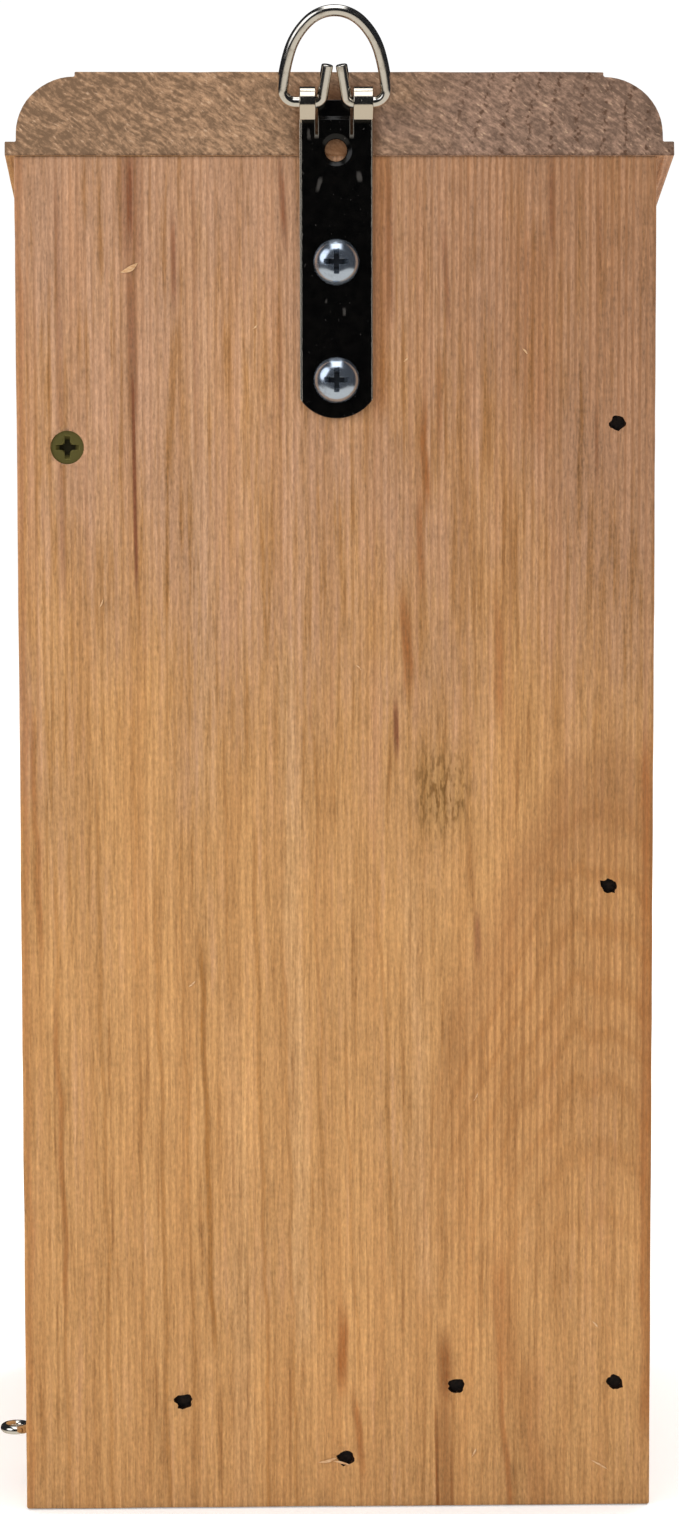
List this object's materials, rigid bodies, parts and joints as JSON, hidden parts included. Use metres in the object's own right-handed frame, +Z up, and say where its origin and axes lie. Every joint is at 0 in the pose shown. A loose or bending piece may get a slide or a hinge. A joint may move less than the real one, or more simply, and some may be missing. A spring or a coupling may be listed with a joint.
{
  "type": "birdhouse",
  "caption": "Tall cedar nest box with a sloped moulded roof, a swing-out clean-out side held by a wire pin, a round entrance and a strap hanger with a hanging ring.",
  "frame": {"origin": "middle of the back board's lower rear edge", "axes": "+Z up along the back board, +Y out of the rear (mounting) face, +X towards the side with the clean-out door; the entrance faces -Y"},
  "size_m": [0.151, 0.1948, 0.3314],
  "materials": {
    "cedar_board": "raw sawn western red cedar with fine vertical ridges",
    "cedar_roof": "raw moulded cedar with weathered grey-brown end grain",
    "black_steel": "gloss black with bright worn rolled tabs",
    "bright_steel": "bright nickel or zinc plate",
    "yellow_zinc": "yellow zinc plate, slightly dulled",
    "nail_steel": "dark galvanised nail steel"
  },
  "bodies": {
    "house": {"back_board": "cedar_board", "front_board": "cedar_board", "fixed_side_panel": "cedar_board", "floor_board": "cedar_board", "roof_board": "cedar_roof", "hanger_strap": "black_steel", "hanger_screw_upper": "bright_steel", "hanger_screw_lower": "bright_steel", "pivot_screw_rear": "yellow_zinc", "pivot_screw_front": "yellow_zinc", "nails_back_to_side": "nail_steel", "nails_back_to_floor": "nail_steel", "nails_front_to_side": "nail_steel", "nails_front_to_floor": "nail_steel", "nails_side_to_floor": "nail_steel", "nails_roof_to_back": "nail_steel", "nails_roof_to_front": "nail_steel", "nails_roof_to_side": "nail_steel"},
    "door": {"clean_out_door": "cedar_board"},
    "latch": {"latch_pin": "bright_steel"},
    "ring": {"hanger_ring": "bright_steel"}
  },
  "joints": [
    {"name": "door_swing", "type": "hinge", "parent": "house", "child": "door", "pos_m": [0.0588, -0.06985, 0.237], "axis": [0, -1, 0], "range_deg": [0, 135]},
    {"name": "latch_pull", "type": "slide", "parent": "door", "child": "latch", "axis": [1, 0, 0], "range_m": [0, 0.028]},
    {"name": "ring_swing", "type": "hinge", "parent": "house", "child": "ring", "pos_m": [0.0004, 0.00345, 0.3111], "axis": [-1, 0, 0], "range_deg": [-53, 163]}
  ]
}
